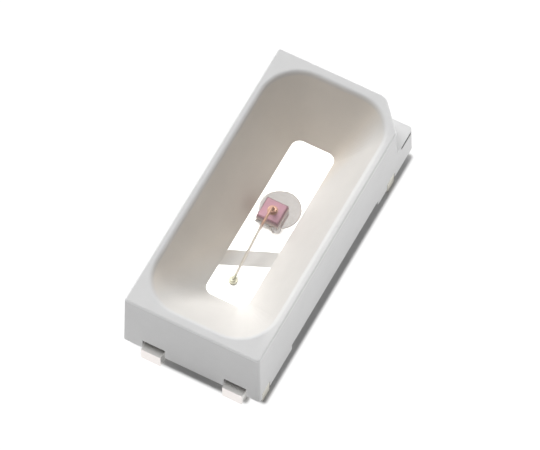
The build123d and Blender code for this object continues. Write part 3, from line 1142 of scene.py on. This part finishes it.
class LED_OT_filling(bpy.types.Operator):
    """Clear resin that fills the cup, with a shallow meniscus"""

    bl_idname = "led.build_filling"
    bl_label = "Filling"

    def execute(self, context):
        housing = settings(context, "led_housing")
        cup = settings(context, "led_cup")
        filling = settings(context, "led_filling")
        surface = filling_high.z / MM
        outer = -filling.overlap
        outlines = [(cup_corners(housing, cup, FLOOR, outer), FLOOR - filling.overlap)]
        rim = surface + filling.meniscus_rise
        outlines.append((cup_corners(housing, cup, rim, outer), rim))
        steps = 6
        for step in range(1, steps + 1):
            part = step / steps
            inset = filling.meniscus_reach * part
            height = surface + filling.meniscus_rise * (1 - part) ** 2
            outlines.append((cup_corners(housing, cup, rim, outer + inset), height))
        bm = bmesh.new()
        grow_stack(bm, outlines)
        place_piece(bm, "resin_filling", "clear_filling", resin_material(filling.tint))
        return {"FINISHED"}


LAMPS = (("key", 60, 48), ("back", 30, 35), ("front", 200, -8), ("side", 315, -8))  # azimuth and elevation
LAMP_SPREAD = math.radians(24)
FLOOR_RADIUS = 0.4          # metres
FLOOR_DROP = 0.002          # millimetres below the object
FLOOR_GLOW = 1.1            # strength of the floor's own white
FLOOR_CLEAR = 0.93          # share of that white away from the object
# Painted shadow: the floor's colour is darker near the object, deepening the contact shadow.
FLOOR_PAINTED_SHADOW, FLOOR_FAR = (0.62, 0.62, 0.62), (0.8, 0.8, 0.8)
OPENING_EDGE = 0.0001       # millimetres


def camera_axes(stage):
    """Directions from the object to the camera, and to the camera's right and up."""
    back = Vector((math.sin(stage.azimuth) * math.cos(stage.elevation),
                   -math.cos(stage.azimuth) * math.cos(stage.elevation),
                   math.sin(stage.elevation)))
    right = Vector((math.cos(stage.azimuth), math.sin(stage.azimuth), 0))
    return back, right, back.cross(right)


def add_lamp(name, azimuth, elevation, strength):
    """Large soft lamp far away, its azimuth counted from the object's X axis. Its strength is the light on a
    face square to it, where 1 shows a colour as written."""
    lamp = bpy.data.lights.new(name, "SUN")
    lamp.energy = strength * math.pi
    lamp.angle = LAMP_SPREAD
    lamp_object = bpy.data.objects.new(name, lamp)
    turn = Euler((0, math.radians(90 - elevation), math.radians(azimuth)))
    lamp_object.rotation_euler = turn
    bpy.context.scene.collection.objects.link(lamp_object)


def background_rays(tree):
    """One for rays that see the backdrop: from the camera, a shiny surface or clear resin."""
    path = add_node(tree, "ShaderNodeLightPath").outputs
    seen = calculated(tree, "MAXIMUM", path["Is Camera Ray"], path["Is Glossy Ray"])
    return calculated(tree, "MAXIMUM", seen, path["Is Transmission Ray"])


def past_contact(tree, stage):
    """Distance outside what stands on the floor, without its corners."""
    moved = vector_math(tree, "ADD", millimetre_space(tree), (0, stage.shadow_shift, 0))
    half_width = HALF_WIDTH - stage.shadow_shift
    return calculated(
        tree, "MINIMUM",
        distance_outside(tree, moved, HALF_LENGTH, half_width - stage.shadow_corner),
        distance_outside(tree, moved, HALF_LENGTH - stage.shadow_corner / 2, half_width))


def floor_absent(tree, stage):
    """One where the floor isn't there: from below, for the low lamps, which stand for the light that a white
    table throws up, and under the foot of the plastic, so that the solder pads can be looked at."""
    path = add_node(tree, "ShaderNodeLightPath").outputs
    below = add_node(tree, "ShaderNodeNewGeometry").outputs["Backfacing"]
    absent = calculated(tree, "MAXIMUM", below, path["Is Shadow Ray"])
    past_foot = distance_outside(tree, millimetre_space(tree), HALF_LENGTH - stage.opening_inset,
                                 HALF_WIDTH - stage.opening_inset)
    under_foot = calculated(tree, "LESS_THAN", past_foot, OPENING_EDGE)
    indirect = calculated(tree, "SUBTRACT", 1.0, path["Is Camera Ray"])
    return calculated(tree, "MAXIMUM", absent, product(tree, under_foot, indirect))


def floor_material(stage):
    """Paper that reads white away from the object and keeps its shadow, deepened by a painted shadow: a
    darker floor colour near the object.
    """
    material, tree, shader = new_tree("floor_paper")
    away = past_contact(tree, stage)
    reach = stage.shadow_reach + stage.shadow_fade
    near = rising(tree, away, 0.0, reach)
    fill(tree, shader, {"Base Color": mixed(tree, near, FLOOR_PAINTED_SHADOW, FLOOR_FAR), "Roughness": 0.9,
                        "Specular IOR Level": 0.0})
    clear = add_node(tree, "ShaderNodeMapRange", {
        "Value": away, "From Min": stage.shadow_reach, "From Max": reach, "To Max": FLOOR_CLEAR,
    }, interpolation_type="SMOOTHSTEP").outputs["Result"]
    glow = add_node(tree, "ShaderNodeEmission", {"Strength": FLOOR_GLOW}).outputs["Emission"]
    lit = mixed_shader(tree, product(tree, background_rays(tree), clear), shader.outputs["BSDF"], glow)
    nothing = add_node(tree, "ShaderNodeBsdfTransparent").outputs["BSDF"]
    surface = mixed_shader(tree, floor_absent(tree, stage), lit, nothing)
    tree.links.new(surface, tree.nodes["Material Output"].inputs["Surface"])
    return material


def make_floor(context, stage):
    """Round floor just below the object."""
    bm = bmesh.new()
    bmesh.ops.create_circle(bm, cap_ends=True, segments=64, radius=FLOOR_RADIUS)
    bmesh.ops.translate(bm, vec=(0, 0, cad_low.z - FLOOR_DROP * MM), verts=bm.verts)
    mesh = bpy.data.meshes.new("studio_floor")
    bm.to_mesh(mesh)
    bm.free()
    mesh.materials.append(floor_material(stage))
    floor = bpy.data.objects.new("studio_floor", mesh)
    context.scene.collection.objects.link(floor)


class LED_OT_stage(bpy.types.Operator):
    """Floor, even surrounding light, lamps and camera"""

    bl_idname = "led.build_stage"
    bl_label = "Stage"

    def execute(self, context):
        stage = settings(context, "led_stage")
        make_floor(context, stage)
        world = bpy.data.worlds.new("studio")
        world.use_nodes = True
        tree = world.node_tree
        strength = spread(tree, background_rays(tree), stage.ambient, 1.0, 0.0, 1.0)
        fill(tree, tree.nodes["Background"], {"Strength": strength, "Color": (*WHITE, 1)})
        context.scene.world = world
        for name, azimuth, elevation in LAMPS:
            add_lamp(name, azimuth, elevation, getattr(stage, name))
        back, right, up = camera_axes(stage)
        camera = bpy.data.cameras.new("camera")
        camera.lens = stage.lens
        camera.sensor_width = 36
        camera.clip_start = 0.001
        camera.clip_end = 10
        camera_object = bpy.data.objects.new("camera", camera)
        camera_object.matrix_world = Matrix.Translation(
            (back * stage.distance + right * stage.move_right + up * stage.move_up) * MM
        ) @ Matrix((right, up, back)).transposed().to_4x4()
        context.scene.collection.objects.link(camera_object)
        context.scene.camera = camera_object
        context.scene.view_settings.view_transform = "Standard"
        return {"FINISHED"}


OPERATORS = (LED_OT_leads, LED_OT_housing, LED_OT_chip, LED_OT_bond, LED_OT_filling, LED_OT_stage)


class LED_PT_pieces(bpy.types.Panel):
    """Lists the pieces that can be built, with their sizes and colours"""

    bl_idname = "LED_PT_pieces"
    bl_label = "Surface-mount LED"
    bl_space_type = "VIEW_3D"
    bl_region_type = "UI"
    bl_category = "LED"

    def draw(self, context):
        for operator in OPERATORS:
            self.layout.operator(operator.bl_idname)
        for name, group in SETTINGS.items():
            box = self.layout.box()
            box.label(text=group.__doc__)
            for key in group.__annotations__:
                box.prop(getattr(context.scene, name), key)


def register():
    """Registers the settings, the operators and the panel."""
    for name, group in SETTINGS.items():
        bpy.utils.register_class(group)
        setattr(bpy.types.Scene, name, PointerProperty(type=group))
    for operator in OPERATORS:
        bpy.utils.register_class(operator)
    bpy.utils.register_class(LED_PT_pieces)


def unregister():
    """Removes them again."""
    bpy.utils.unregister_class(LED_PT_pieces)
    for operator in reversed(OPERATORS):
        bpy.utils.unregister_class(operator)
    for name, group in reversed(SETTINGS.items()):
        delattr(bpy.types.Scene, name)
        bpy.utils.unregister_class(group)


def main():
    """Builds every piece in order."""
    register()
    for operator in OPERATORS:
        area, action = operator.bl_idname.split(".")
        getattr(getattr(bpy.ops, area), action)()


if __name__ == "__main__":
    main()
